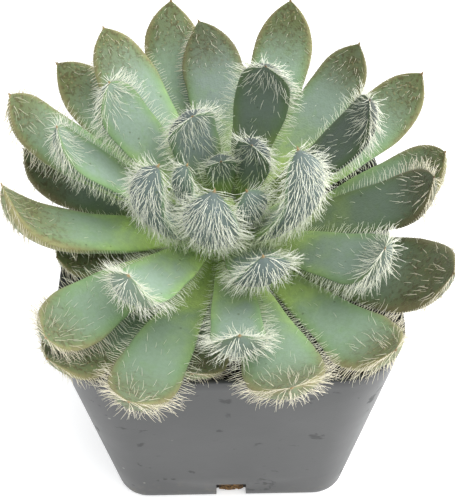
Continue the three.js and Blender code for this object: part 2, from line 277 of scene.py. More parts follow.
def face_outwards(piece):
    """Merges doubles and turns every face of a closed mesh outwards."""
    work = bmesh.new()
    work.from_mesh(piece.data)
    bmesh.ops.remove_doubles(work, verts=work.verts, dist=1e-7)
    bmesh.ops.recalc_face_normals(work, faces=work.faces)
    work.to_mesh(piece.data)
    work.free()


def ring_faces(rows, sides):
    """Quads between successive closed rings of points."""
    faces = []
    for row in range(rows - 1):
        for side in range(sides):
            here = row * sides + side
            beside = row * sides + (side + 1) % sides
            faces.append((here, beside, beside + sides, here + sides))
    return faces


def add_values(mesh, name, values, kind="FLOAT"):
    """Stores one value or vector for each point of the mesh."""
    layer = mesh.attributes.new(name, kind, "POINT")
    field = "vector" if kind == "FLOAT_VECTOR" else "value"
    layer.data.foreach_set(field, np.asarray(values, dtype=np.float32).ravel())


def finish_mesh(piece):
    """Bakes the piece's modifiers into a plain mesh and removes them."""
    graph = bpy.context.evaluated_depsgraph_get()
    baked = bpy.data.meshes.new_from_object(piece.evaluated_get(graph))
    baked.name = piece.name
    piece.modifiers.clear()
    piece.data = baked


def settle(piece, *nodes, slot):
    """Rides the piece on the part's body and hides the CAD parts that it stands in for."""
    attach(piece, BODY)
    if nodes:
        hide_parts(*nodes)


def smooth_step(x, low, high):
    """0 below low, 1 above high and smooth between."""
    t = np.clip((x - low) / (high - low), 0.0, 1.0)
    return t * t * (3.0 - 2.0 * t)


def rough(point, scale, seed=0.0):
    """Smooth noise from -1 to 1 at a point in millimetres; scale is the bump's size."""
    return noise.noise(Vector(point) / scale + Vector((seed, 2.0 * seed, -seed)))


# ---- Node helpers ----------------------------------------------------------------------------
def add_node(tree, kind, inputs=None, **settings):
    """A node with its settings made and its inputs set to values or linked to sockets."""
    node = tree.nodes.new(kind)
    for key, value in settings.items():
        setattr(node, key, value)
    for key, value in (inputs or {}).items():
        if isinstance(value, bpy.types.NodeSocket):
            tree.links.new(value, node.inputs[key])
        else:
            node.inputs[key].default_value = value
    return node


def math_node(tree, operation, *values, clamp=False):
    """The output of a Math node."""
    return add_node(
        tree, "ShaderNodeMath", dict(enumerate(values)), operation=operation,
        use_clamp=clamp).outputs[0]


def vector_node(tree, operation, inputs):
    """The output of a Vector Math node."""
    return add_node(tree, "ShaderNodeVectorMath", inputs, operation=operation).outputs[0]


def ramp_value(tree, value, low, high):
    """A smooth 0 to 1 as value goes from low to high."""
    return add_node(
        tree, "ShaderNodeMapRange", {"Value": value, "From Min": low, "From Max": high},
        interpolation_type="SMOOTHSTEP").outputs["Result"]


def mix_colour(tree, share, first, second, blend="MIX"):
    """The output colour of a Mix node, whose colour sockets are numbers 6 and 7."""
    return add_node(
        tree, "ShaderNodeMix", {0: share, 6: first, 7: second}, data_type="RGBA",
        blend_type=blend).outputs[2]


def rgba(colour, factor=1.0):
    """A colour made darker or paler by a factor, with full alpha."""
    return tuple(min(1.0, c * factor) for c in colour) + (1.0,)


def soft_patches(group, entry):
    """Soft uneven patches, such as bloom that has been rubbed thin."""
    cloud = add_node(
        group, "ShaderNodeTexNoise",
        {"Vector": entry["Position"], "Scale": entry["Scale"], "Detail": 4.0,
         "Roughness": 0.6, "Distortion": 0.4})
    return ramp_value(group, cloud.outputs["Fac"], entry["Low"], entry["High"])


def scattered_specks(group, entry):
    """Small scattered specks, each with soft edges."""
    cells = add_node(
        group, "ShaderNodeTexVoronoi", {"Vector": entry["Position"], "Scale": entry["Scale"]})
    smaller = math_node(group, "MULTIPLY", entry["Size"], 0.5)
    near = ramp_value(group, cells.outputs["Distance"], entry["Size"], smaller)
    pick = add_node(group, "ShaderNodeSeparateColor", {"Color": cells.outputs["Color"]})
    kept = math_node(group, "LESS_THAN", pick.outputs[0], entry["Share"])
    return math_node(group, "MULTIPLY", near, kept)


def fine_grain(group, entry):
    """A height for fine skin or moulded grain, with a coarser unevenness under it."""
    fine, coarse = (
        add_node(group, "ShaderNodeTexNoise",
                 {"Vector": entry["Position"], "Scale": entry[scale], "Detail": detail})
        for scale, detail in (("Fine Scale", 2.0), ("Coarse Scale", 3.0)))
    big = math_node(group, "MULTIPLY", coarse.outputs["Fac"], entry["Coarse Share"])
    return math_node(group, "ADD", fine.outputs["Fac"], big)


# Each shared effect: the function that makes its nodes, its inputs and its output.
EFFECTS = {
    "Soft Patches": (soft_patches, {"Scale": 200.0, "Low": 0.4, "High": 0.6}, "Mask"),
    "Scattered Specks": (
        scattered_specks, {"Scale": 900.0, "Size": 0.25, "Share": 0.3}, "Mask"),
    "Fine Grain": (
        fine_grain, {"Fine Scale": 3000.0, "Coarse Scale": 500.0, "Coarse Share": 0.5},
        "Height"),
}


def effect_group(name):
    """The shader node group of a shared effect, made the first time it is asked for."""
    if name in bpy.data.node_groups:
        return bpy.data.node_groups[name]
    fill, inputs, output = EFFECTS[name]
    group = bpy.data.node_groups.new(name, "ShaderNodeTree")
    group.interface.new_socket("Position", in_out="INPUT", socket_type="NodeSocketVector")
    for label, value in inputs.items():
        socket = group.interface.new_socket(label, in_out="INPUT", socket_type="NodeSocketFloat")
        socket.default_value = value
    group.interface.new_socket(output, in_out="OUTPUT", socket_type="NodeSocketFloat")
    entry = add_node(group, "NodeGroupInput").outputs
    add_node(group, "NodeGroupOutput", {output: fill(group, entry)})
    return group


class Paint:
    """A material in the making: its tree, its shader and the colour laid down so far."""

    def __init__(self, name, roughness, **surface):
        self.material = bpy.data.materials.new(name)
        self.material.use_nodes = True
        self.tree = self.material.node_tree
        self.tree.nodes.clear()
        inputs = {key.replace("_", " "): value for key, value in surface.items()}
        self.shader = add_node(
            self.tree, "ShaderNodeBsdfPrincipled", {"Roughness": roughness, **inputs})
        add_node(self.tree, "ShaderNodeOutputMaterial", {"Surface": self.shader.outputs[0]})
        self.place = add_node(self.tree, "ShaderNodeTexCoord").outputs["Object"]
        self.colour = None

    def math(self, operation, *values, clamp=False):
        return math_node(self.tree, operation, *values, clamp=clamp)

    def ramp(self, value, low, high):
        return ramp_value(self.tree, value, low, high)

    def stored(self, name):
        """A float stored on the mesh's points."""
        return add_node(
            self.tree, "ShaderNodeAttribute", attribute_name=name).outputs["Fac"]

    def height(self):
        """The height above the pot's underside, in metres."""
        return add_node(self.tree, "ShaderNodeSeparateXYZ", {"Vector": self.place}).outputs["Z"]

    def effect(self, name, *values):
        """The output of a shared effect, with its inputs set in their order."""
        inputs = dict(zip(EFFECTS[name][1], values, strict=True), Position=self.place)
        return add_node(
            self.tree, "ShaderNodeGroup", inputs, node_tree=effect_group(name)).outputs[0]

    def patches(self, scale, low, high):
        return self.effect("Soft Patches", scale, low, high)

    def specks(self, scale, size, share):
        return self.effect("Scattered Specks", scale, size, share)

    def grain(self, fine_scale, coarse_scale, coarse_share):
        return self.effect("Fine Grain", fine_scale, coarse_scale, coarse_share)

    def layer(self, share, colour, strength=1.0):
        """Lays a colour over what is there, as far as share says, thinned by strength."""
        if strength != 1.0:
            share = self.math("MULTIPLY", share, strength)
        self.colour = mix_colour(self.tree, share, self.colour, colour)

    def feed(self, value, name):
        """Feeds a value into one of the shader's inputs."""
        self.tree.links.new(value, self.shader.inputs[name])

    def finish(self, height=None, strength=1.0, depth=0.0):
        """Feeds the colour in, and a height as a bump depth millimetres deep."""
        self.feed(self.colour, "Base Color")
        if height is not None:
            bump = add_node(
                self.tree, "ShaderNodeBump",
                {"Height": height, "Strength": strength, "Distance": depth * MM})
            self.feed(bump.outputs[0], "Normal")
        return self.material


# ---- Materials -------------------------------------------------------------------------------
def leaf_material(settings, name, colour):
    """Powdery leaf skin: lime at the base, bloom in the middle, greener edges, worn end."""
    paint = Paint(
        name, 0.62, Specular_IOR_Level=0.35, Sheen_Weight=0.12, Sheen_Roughness=0.5,
        Subsurface_Weight=0.1, Subsurface_Radius=(0.8 * MM, 1.2 * MM, 0.4 * MM),
        Subsurface_Scale=1.0)
    rim, under, worn, grey = (paint.stored(key) for key in ("rim", "under", "worn", "grey"))
    cloud = paint.patches(160.0, 0.25, 0.75)
    drift = paint.math(
        "MULTIPLY_ADD", cloud, 0.2, paint.math("SUBTRACT", paint.stored("along"), 0.1))
    green = rgba(settings.green_colour)
    paint.colour = rgba(settings.base_colour)
    paint.layer(paint.ramp(drift, 0.12, 0.68), green)
    # Bloom lies thickest in the middle of a face and thins towards its edges.
    bloom = paint.math("MULTIPLY", paint.ramp(rim, 1.0, 0.45), paint.ramp(drift, 0.2, 0.62))
    paint.layer(paint.math("MULTIPLY_ADD", bloom, 0.75, 0.12), rgba(colour))
    paint.layer(paint.math("MULTIPLY", bloom, grey), rgba(settings.young_colour), 0.55)
    # Where it has been rubbed thin, the skin under it is greener and darker.
    rubbed = paint.patches(420.0, 0.5, 0.72)
    paint.layer(rubbed, green, 0.4)
    paint.layer(paint.patches(1500.0, 0.35, 0.65), rgba(settings.green_colour, 0.6), 0.16)
    # The outer face is greener, and dark slate on leaves with a grey bloom: partly the face's own
    # dark grey and partly painted shade, for an outer face that is turned from the lamps.
    paint.layer(under, green, 0.35)
    slate_and_shade_mask = paint.math(
        "MULTIPLY", paint.math("MULTIPLY", under, grey), paint.ramp(drift, 0.1, 0.4))
    paint.layer(slate_and_shade_mask, rgba(settings.slate_and_shade_colour), 0.9)
    # The worn end turns olive, then brown in crusty specks, and dries along its edge.
    olive = paint.math("MULTIPLY", worn, paint.math("MULTIPLY_ADD", cloud, 0.5, 0.6))
    paint.layer(olive, rgba(settings.old_colour))
    brown = paint.math("MULTIPLY", worn, paint.patches(1300.0, 0.5, 0.6))
    paint.layer(brown, rgba((0.105, 0.085, 0.032)), 0.7)
    crust = paint.math(
        "MAXIMUM", paint.ramp(rim, 0.7, 1.0), paint.specks(1500.0, 0.42, 0.35))
    dry = paint.math("MULTIPLY", worn, crust, clamp=True)
    paint.layer(dry, rgba((0.31, 0.27, 0.13)), 0.65)
    paint.layer(paint.specks(700.0, 0.2, 0.14), rgba((0.08, 0.11, 0.04)), 0.55)
    paint.layer(paint.stored("point"), rgba(settings.tip_colour))
    # Painted light and shade: each leaf's colour is multiplied by its listed lightness, darker for
    # leaves turned from the lamps and lighter for leaves that others shade, with a small random
    # spread.
    tone = paint.stored("tone")
    shade = add_node(
        paint.tree, "ShaderNodeCombineColor", {"Red": tone, "Green": tone, "Blue": tone})
    paint.colour = mix_colour(
        paint.tree, 1.0, paint.colour, shade.outputs[0], blend="MULTIPLY")
    paint.feed(paint.math("MULTIPLY_ADD", rubbed, -0.14, 0.66), "Roughness")
    pits = paint.math(
        "MULTIPLY_ADD", paint.math("ADD", brown, dry), 0.9, paint.grain(3200.0, 600.0, 1.5))
    return paint.finish(pits, strength=0.6, depth=0.14)


def hair_material(settings):
    """Cream, slightly translucent hair, greener at a leaf's base and browner where it is old."""
    paint = Paint(
        "plant_hair", 0.55, Specular_IOR_Level=0.4, Subsurface_Weight=0.25,
        Subsurface_Radius=(0.3 * MM, 0.3 * MM, 0.2 * MM), Subsurface_Scale=1.0)
    paint.colour = rgba(settings.colour)
    paint.layer(paint.stored("greenish"), rgba((0.72, 0.84, 0.48)))
    paint.layer(paint.patches(300.0, 0.3, 0.7), rgba((0.80, 0.72, 0.55)), 0.2)
    paint.layer(paint.stored("tan"), rgba((0.62, 0.42, 0.20)))
    return paint.finish()


def pot_material(settings):
    """Satin moulded plastic with fine grain, scuffs, dust and a few pale nicks."""
    paint = Paint("pot_plastic", 0.4, IOR=1.49, Specular_IOR_Level=0.3)
    cloud = paint.patches(40.0, 0.3, 0.7)
    paint.colour = rgba(settings.colour)
    paint.layer(cloud, rgba(settings.colour, 1.12))
    scuffs = paint.patches(210.0, 0.63, 0.7)
    paint.layer(scuffs, rgba(settings.colour, 0.6), 0.35)
    paint.layer(paint.specks(260.0, 0.1, 0.14), rgba((0.32, 0.31, 0.28)), 0.7)
    # Dust and dried splashes gather near the foot.
    low = paint.ramp(paint.height(), 14.0 * MM, 1.0 * MM)
    dust = paint.math("MULTIPLY", low, paint.patches(330.0, 0.55, 0.68))
    dusty = paint.math("MULTIPLY", dust, 0.35)
    paint.layer(dusty, rgba((0.20, 0.18, 0.14)))
    satin = paint.math("MULTIPLY_ADD", cloud, 0.08, 0.36)
    dull = paint.math("MULTIPLY_ADD", paint.math("ADD", scuffs, dusty), 0.2, satin)
    paint.feed(dull, "Roughness")
    return paint.finish(paint.grain(2600.0, 60.0, 6.0), strength=0.12, depth=0.1)


def soil_material(settings):
    """Moist dark potting mix with browner fibres in it."""
    paint = Paint("potting_soil", 0.85, Specular_IOR_Level=0.25)
    paint.colour = rgba(settings.colour)
    paint.layer(paint.patches(900.0, 0.4, 0.65), rgba(settings.colour, 2.6))
    paint.layer(paint.specks(800.0, 0.3, 0.1), rgba((0.075, 0.045, 0.022)), 0.6)
    return paint.finish(paint.grain(2400.0, 900.0, 1.5), strength=0.8, depth=0.3)


def root_material():
    """Dry brown root fibre."""
    paint = Paint("root_fibre", 0.8)
    paint.colour = rgba((0.035, 0.018, 0.007))
    paint.layer(paint.patches(1500.0, 0.35, 0.65), rgba((0.24, 0.13, 0.04)))
    return paint.finish(paint.grain(4000.0, 1200.0, 1.0), strength=0.6, depth=0.1)


def stem_material():
    """Green stalk, browner towards the soil, with scars where leaves have come off."""
    paint = Paint("stem_skin", 0.7)
    crown = (SOIL_TOP + CROWN_ABOVE_SOIL) * MM
    paint.colour = rgba((0.13, 0.09, 0.04))
    green = paint.ramp(paint.height(), crown - 2.0 * MM, crown + 7.0 * MM)
    paint.layer(green, rgba((0.30, 0.42, 0.12)))
    paint.layer(paint.patches(600.0, 0.52, 0.62), rgba((0.10, 0.07, 0.03)), 0.5)
    return paint.finish(paint.grain(2500.0, 600.0, 1.5), strength=0.6, depth=0.2)


# ---- Pot and soil ----------------------------------------------------------------------------
def pot_outline(height, inset, steps):
    """Points round the pot's rounded-square section at a height, drawn in by inset."""
    share = height / POT_HEIGHT
    half = (POT_FOOT_WIDTH + (POT_RIM_WIDTH - POT_FOOT_WIDTH) * share) / 2
    corner = FOOT_CORNER_RADIUS + (RIM_CORNER_RADIUS - FOOT_CORNER_RADIUS) * share
    centre = half - corner
    points = []
    for side, (sx, sy) in enumerate(((1, 1), (-1, 1), (-1, -1), (1, -1))):
        for step in range(steps + 1):
            angle = (side + step / steps) * math.pi / 2
            points.append((
                sx * centre + (corner - inset) * math.cos(angle),
                sy * centre + (corner - inset) * math.sin(angle),
                height))
    return points


def stacked_body(name, levels, steps):
    """A closed body from (height, inset) levels, capped flat at its first and last level."""
    points = []
    for height, inset in levels:
        points += pot_outline(height, inset, steps)
    sides = 4 * (steps + 1)
    faces = ring_faces(len(levels), sides)
    last = (len(levels) - 1) * sides
    faces.append(tuple(range(sides - 1, -1, -1)))
    faces.append(tuple(range(last, last + sides)))
    return mesh_object(name, points, faces)


def notch_cutter():
    """Four blocks that cut the drain notches in the middle of each side's foot."""
    cutter = bpy.data.meshes.new("notch_cutter")
    work = bmesh.new()
    for side in range(4):
        size = Matrix.Diagonal((2 * NOTCH_DEPTH * MM, NOTCH_WIDTH * MM, 2 * NOTCH_HEIGHT * MM, 1))
        place = Matrix.Translation((POT_FOOT_WIDTH / 2 * MM, 0, 0))
        turn = Matrix.Rotation(side * math.pi / 2, 4, "Z")
        bmesh.ops.create_cube(work, size=1.0, matrix=turn @ place @ size)
    work.to_mesh(cutter)
    work.free()
    piece = bpy.data.objects.new("notch_cutter", cutter)
    bpy.context.scene.collection.objects.link(piece)
    return piece


class SUCCULENT_OT_make_pot(bpy.types.Operator):
    """Makes the pot: thin sloping walls, rounded rim and foot, and four drain notches"""
    bl_idname = "succulent.make_pot"
    bl_label = "Make Pot"

    def execute(self, context):
        settings = context.scene.succulent_pot
        foot_round, rim_round, rim_step = 1.0, 0.3, 0.09
        levels = [(0.0, foot_round)]
        for share in (0.3, 0.6, 0.85):
            angle = share * math.pi / 2
            levels.append((
                foot_round * (1 - math.cos(angle)), foot_round * (1 - math.sin(angle))))
        for share in (0.04, 0.2, 0.4, 0.6, 0.8, 0.95):
            levels.append((POT_HEIGHT * share, 0.0))
        levels += [
            (POT_HEIGHT - rim_round, 0.0), (POT_HEIGHT - rim_step, rim_step),
            (POT_HEIGHT, rim_round), (POT_HEIGHT, WALL_THICKNESS - rim_round),
            (POT_HEIGHT - rim_step, WALL_THICKNESS - rim_step),
            (POT_HEIGHT - rim_round, WALL_THICKNESS)]
        for share in (0.95, 0.8, 0.6, 0.4, 0.2):
            levels.append((POT_HEIGHT * share, WALL_THICKNESS))
        levels.append((FLOOR_THICKNESS, WALL_THICKNESS))
        pot = stacked_body("pot_shell", levels, settings.corner_steps)
        face_outwards(pot)
        cutter = notch_cutter()
        cut = pot.modifiers.new("Notches", "BOOLEAN")
        cut.object = cutter
        cut.solver = "EXACT"
        finish_mesh(pot)
        bpy.data.objects.remove(cutter)
        soften = pot.modifiers.new("Soft Edges", "BEVEL")
        soften.width = settings.edge_radius
        soften.segments = 2
        soften.limit_method = "ANGLE"
        soften.angle_limit = math.radians(50)
        finish_mesh(pot)
        pot.data.shade_smooth()
        pot.data.set_sharp_from_angle(angle=math.radians(40))
        pot.data.materials.clear()
        pot.data.materials.append(pot_material(settings))
        settle(pot, "pot", slot="pot_plastic")
        return {"FINISHED"}


CRUMB_SEED = 4


def new_geometry_tree(name, inputs):
    """A Geometry Nodes tree with named inputs, and the sockets that bring them in."""
    tree = bpy.data.node_groups.new(name, "GeometryNodeTree")
    for label, kind in {"Geometry": "Geometry", **inputs, "Material": "Material"}.items():
        tree.interface.new_socket(label, in_out="INPUT", socket_type="NodeSocket" + kind)
    tree.interface.new_socket("Geometry", in_out="OUTPUT", socket_type="NodeSocketGeometry")
    return tree, add_node(tree, "NodeGroupInput").outputs


def end_tree(tree, instances, material):
    """Makes the instances real, sets their material and gives them out."""
    solid = add_node(tree, "GeometryNodeRealizeInstances", {"Geometry": instances})
    painted = add_node(
        tree, "GeometryNodeSetMaterial", {"Geometry": solid.outputs[0], "Material": material})
    add_node(tree, "NodeGroupOutput", {0: painted.outputs[0]})
    return tree


def stored_value(tree, name, kind="FLOAT"):
    """A value stored on the mesh, read inside a Geometry Nodes tree."""
    return add_node(
        tree, "GeometryNodeInputNamedAttribute", {"Name": name}, data_type=kind).outputs[0]


def scatter(tree, entry, density, most):
    """Points at least Spacing apart on the faces, thinned by density."""
    return add_node(
        tree, "GeometryNodeDistributePointsOnFaces",
        {"Mesh": entry["Geometry"], "Distance Min": entry["Spacing"], "Density Max": most,
         "Density Factor": density, "Seed": entry["Seed"]},
        distribute_method="POISSON").outputs["Points"]


def random_vector(tree, low, high, seed):
    """A random vector for each point."""
    return add_node(
        tree, "FunctionNodeRandomValue", {0: low, 1: high, "Seed": seed},
        data_type="FLOAT_VECTOR").outputs[0]


def random_number(tree, low, high, seed):
    """A random number for each point."""
    return add_node(
        tree, "FunctionNodeRandomValue", {2: low, 3: high, "Seed": seed},
        data_type="FLOAT").outputs[1]


def place_copies(tree, points, instance, turn, scale):
    """A turned and scaled copy of the instance on each point."""
    return add_node(
        tree, "GeometryNodeInstanceOnPoints",
        {"Points": points, "Instance": instance, "Rotation": turn, "Scale": scale}).outputs[0]


def crumbs_tree():
    """Geometry Nodes: lumpy crumbs scattered over the faces marked as the soil's surface."""
    tree, entry = new_geometry_tree(
        "Soil Crumbs", {"Crumb Size": "Float", "Spacing": "Float", "Seed": "Int"})
    points = scatter(tree, entry, stored_value(tree, "surface"), 2.5e6)
    lump = add_node(
        tree, "GeometryNodeMeshIcoSphere", {"Radius": entry["Crumb Size"], "Subdivisions": 2})
    spot = add_node(tree, "GeometryNodeInputPosition")
    bumps = add_node(
        tree, "ShaderNodeTexNoise", {"Vector": spot.outputs[0], "Scale": 1400.0})
    centred = vector_node(
        tree, "SUBTRACT", {0: bumps.outputs["Color"], 1: (0.5, 0.5, 0.5)})
    shove = vector_node(tree, "SCALE", {0: centred, "Scale": entry["Crumb Size"]})
    shaped = add_node(
        tree, "GeometryNodeSetPosition", {"Geometry": lump.outputs["Mesh"], "Offset": shove})
    turn = random_vector(tree, (0.0, 0.0, 0.0), (6.28, 6.28, 6.28), entry["Seed"])
    stretch = random_vector(tree, (0.2, 0.15, 0.12), (0.75, 0.55, 0.4), entry["Seed"])
    crumbs = place_copies(tree, points, shaped.outputs[0], turn, stretch)
    return end_tree(tree, crumbs, entry["Material"])


def run_tree(piece, tree, values):
    """Runs a Geometry Nodes tree on the piece with its named inputs set, and bakes it."""
    run = piece.modifiers.new(tree.name, "NODES")
    run.node_group = tree
    for item in tree.interface.items_tree:
        if item.in_out == "INPUT" and item.name in values:
            run[item.identifier] = values[item.name]
    finish_mesh(piece)


class SUCCULENT_OT_make_soil(bpy.types.Operator):
    """Makes the soil: a lumpy filled body with loose crumbs on it, and roots in the notches"""
    bl_idname = "succulent.make_soil"
    bl_label = "Make Soil and Roots"

    def execute(self, context):
        settings = context.scene.succulent_soil
        material = soil_material(settings)
        soil = self.make_fill(settings)
        soil.data.materials.append(material)
        crumbs = bpy.data.objects.new("soil_crumbs", soil.data.copy())
        context.scene.collection.objects.link(crumbs)
        run_tree(crumbs, crumbs_tree(), {
            "Crumb Size": settings.grain_size, "Spacing": settings.grain_spacing,
            "Seed": CRUMB_SEED, "Material": material})
        settle(soil, "soil", slot="soil")
        settle(crumbs, slot="soil")
        roots = self.make_roots()
        roots.data.materials.append(root_material())
        settle(roots, slot="soil")
        return {"FINISHED"}

    def make_fill(self, settings):
        """The filled body, with its lumpy surface marked for the crumbs."""
        steps, rows = 14, 26
        surface, skirt = SOIL_TOP - 0.5, SOIL_TOP - 1.2
        wall_drop, wall_share = 0.9, 0.12
        sides = 4 * (steps + 1)
        inset = WALL_THICKNESS + CLEARANCE
        foot = FLOOR_THICKNESS + CLEARANCE
        points = pot_outline(foot, inset, steps) + pot_outline(skirt, inset, steps)
        marks = [0.0] * (2 * sides)
        rim = pot_outline(SOIL_TOP, inset, steps)
        for row in range(rows):
            share = 1.0 - row / rows
            for x, y, z in rim:
                spot = (x * share, y * share, z)
                # Broad lumps with small ones on them, lower along the pot's wall.
                lift = 0.75 * rough(spot, 5.0, 1.0) + 0.35 * rough(spot, 1.6, 2.0)
                low = -wall_drop * (1.0 - smooth_step(1.0 - share, 0.0, wall_share))
                points.append((spot[0], spot[1], surface + low + lift * settings.relief / MM))
                marks.append(1.0)
        points.append((0.0, 0.0, surface))
        marks.append(1.0)
        faces = ring_faces(rows + 2, sides)
        last = (rows + 1) * sides
        faces += [(last + k, last + (k + 1) % sides, len(points) - 1) for k in range(sides)]
        faces.append(tuple(range(sides - 1, -1, -1)))
        soil = mesh_object("soil_fill", points, faces)
        add_values(soil.data, "surface", marks)
        return soil

    def make_roots(self):
        """Short tangled fibres that show in each drain notch."""
        def waver(across, along):
            """From -1 to 1, and different for each strand."""
            return rough((seed, across, along), 1.0)

        points, faces = [], []
        sides, steps, strands, seed_step = 6, 9, 44, 2.3
        lowest, highest = 1.6, NOTCH_HEIGHT - 0.6
        slope = (POT_RIM_WIDTH - POT_FOOT_WIDTH) / 2 / POT_HEIGHT
        side_limit = NOTCH_WIDTH / 2 - 0.6
        for side in range(4):
            turn = Matrix.Rotation(side * math.pi / 2, 3, "Z")
            for strand in range(strands):
                seed = seed_step * strands * side + seed_step * strand
                across = waver(3.3, 0.5) * NOTCH_WIDTH
                height = 4.0 + 5.0 * waver(8.1, 4.5)
                radius = 0.5 + 0.25 * waver(0.0, 0.5)
                start = len(points)
                for step in range(steps):
                    share = step / (steps - 1)
                    wander = 1.2 * waver(2.4 * share, 0.3)
                    lift = height + 1.6 * waver(1.6 * share, 7.3)
                    lift = max(lowest, min(highest, lift))
                    behind = 1.5 + 0.7 * waver(5.1, 2.0 * share)
                    reach = (share - 0.5) * 2.6
                    centre = Vector((
                        POT_FOOT_WIDTH / 2 + slope * lift - behind,
                        max(-side_limit, min(side_limit, across + reach + wander)), lift))
                    thin = radius * (0.35 + 0.65 * math.sin(math.pi * (0.1 + 0.8 * share)))
                    for k in range(sides):
                        angle = 2 * math.pi * k / sides
                        off = Vector((thin * math.cos(angle), 0.0, thin * math.sin(angle)))
                        points.append(turn @ (centre + off))
                faces += [tuple(start + i for i in face) for face in ring_faces(steps, sides)]
                faces.append(tuple(start + k for k in range(sides)))
                end = start + (steps - 1) * sides
                faces.append(tuple(end + k for k in range(sides - 1, -1, -1)))
        roots = mesh_object("root_fibres", points, faces)
        face_outwards(roots)
        return roots


# ---- Plant frame -----------------------------------------------------------------------------
PLANT_PLACE = (
    Matrix.Translation((0.0, CROWN_BEHIND_CENTRE, SOIL_TOP + CROWN_ABOVE_SOIL))
    @ Matrix.Rotation(FORWARD_LEAN, 4, "X"))


def stem_radius(height):
    """The stem's radius at a height above the crown."""
    share = np.clip(height / STEM_HEIGHT, 0.0, 1.0)
    return STEM_CROWN_RADIUS + (STEM_TOP_RADIUS - STEM_CROWN_RADIUS) * share ** 1.3


class SUCCULENT_OT_make_stem(bpy.types.Operator):
    """Makes the short stem with its leaf scars"""
    bl_idname = "succulent.make_stem"
    bl_label = "Make Stem"

    def execute(self, context):
        sides, rows, scar_depth = 48, 40, 0.16
        points = []
        heights = [-ROOT_DEPTH] + [STEM_HEIGHT * k / (rows - 2) for k in range(rows - 1)]
        for height in heights:
            radius = ROOT_TIP_RADIUS if height < 0 else stem_radius(height)
            for side in range(sides):
                angle = 2 * math.pi * side / sides
                scar = scar_depth * (math.sin(1.9 * height + 3 * angle) - 1)
                spot = (radius * math.cos(angle), radius * math.sin(angle), height)
                out = 1.0 + (scar + 0.12 * rough(spot, 1.1)) / max(radius, 1.0)
                points.append((spot[0] * out, spot[1] * out, height))
        points += [(0.0, 0.0, -ROOT_DEPTH), (0.0, 0.0, STEM_HEIGHT)]
        faces = ring_faces(rows, sides)
        foot, top = len(points) - 2, len(points) - 1
        last = (rows - 1) * sides
        for side in range(sides):
            beside = (side + 1) % sides
            faces.append((foot, beside, side))
            faces.append((top, last + side, last + beside))
        stem = mesh_object("stem_stalk", [PLANT_PLACE @ Vector(p) for p in points], faces)
        face_outwards(stem)
        stem.data.materials.append(stem_material())
        settle(stem, "stem", slot="stem")
        return {"FINISHED"}


# ---- Leaves ----------------------------------------------------------------------------------
def leaf_shape(leaf):
    """Everything that shapes one leaf: its ring's values, then its own."""
    ring, around, up, lean, length, width, own = leaf
    shape = dict(bow=0.0, sweep=0.0, twist=0.0, tone=1.0, wear=0.0)
    shape.update(RINGS[ring])
    shape.update(ring=ring, around=around, up=up, lean=lean, length=length, width=width)
    shape.update(own)
    return shape


def width_share(shape, s):
    """Half the blade's width at s, as a share of its greatest half width."""
    rising = 1 - np.maximum(1 - s / SHOULDER, 0) ** shape["fullness"]
    past = np.maximum(s - SHOULDER, 0) / (1 - SHOULDER)
    falling = (1 - POINTEDNESS) * (1 - past ** ROUNDING) + POINTEDNESS * (1 - past)
    return np.where(s < SHOULDER, shape["base"] + (1 - shape["base"]) * rising, falling)


def thickness_share(s):
    """The blade's thickness at s, as a share of its greatest thickness."""
    rise = np.sin(np.pi / 2 * np.minimum(s / THICKEST, 1))
    past = np.maximum(s - SHOULDER, 0) / (1 - SHOULDER)
    return (BASE_THICKNESS_SHARE + (1 - BASE_THICKNESS_SHARE) * rise) * (1 - past ** ROUNDING)


def bend_angle(shape, s):
    """The leaf's angle from the stem's axis at s."""
    turn_up = shape["tip_curl"] * smooth_step(s, CURL_START, 1.0)
    return np.radians(shape["lean"] + shape["curl"] * (0.5 - s) - turn_up)


def leaf_frames(shape, s):
    """The middle line and the directions along, across and facing, at each station."""
    fine = np.linspace(0.0, 1.0, 401)
    angle = bend_angle(shape, (fine[1:] + fine[:-1]) / 2)
    length = shape["length"]
    out = np.concatenate([[0.0], np.cumsum(np.sin(angle) * length / 400)])
    rise = np.concatenate([[0.0], np.cumsum(np.cos(angle) * length / 400)])
    bow, sweep = shape["bow"], shape["sweep"]
    sideways = 6.75 * bow * s * s * (1 - s) + sweep * s * s
    slope = (6.75 * bow * (2 * s - 3 * s * s) + 2 * sweep * s) / length
    start = stem_radius(shape["up"]) + LEAF_SETBACK
    middle = np.stack(
        [np.interp(s, fine, out) + start, sideways, np.interp(s, fine, rise)], axis=1)
    angle = bend_angle(shape, s)
    along = np.stack([np.sin(angle), 0 * s, np.cos(angle)], axis=1)
    facing = np.stack([-np.cos(angle), 0 * s, np.sin(angle)], axis=1)
    across = np.array([0.0, 1.0, 0.0]) - slope[:, None] * along
    across /= np.linalg.norm(across, axis=1)[:, None]
    along = along + slope[:, None] * np.array([0.0, 1.0, 0.0])
    along /= np.linalg.norm(along, axis=1)[:, None]
    turn = (math.radians(shape["twist"]) * smooth_step(s, 0.0, 0.5))[:, None]
    turned = across * np.cos(turn) + facing * np.sin(turn)
    faced = facing * np.cos(turn) - across * np.sin(turn)
    return middle, along, turned, faced


def leaf_matrix(around, up):
    """Takes a leaf's own frame to the pot's."""
    return PLANT_PLACE @ Matrix.Translation((0, 0, up)) @ Matrix.Rotation(
        math.radians(around), 4, "Z")


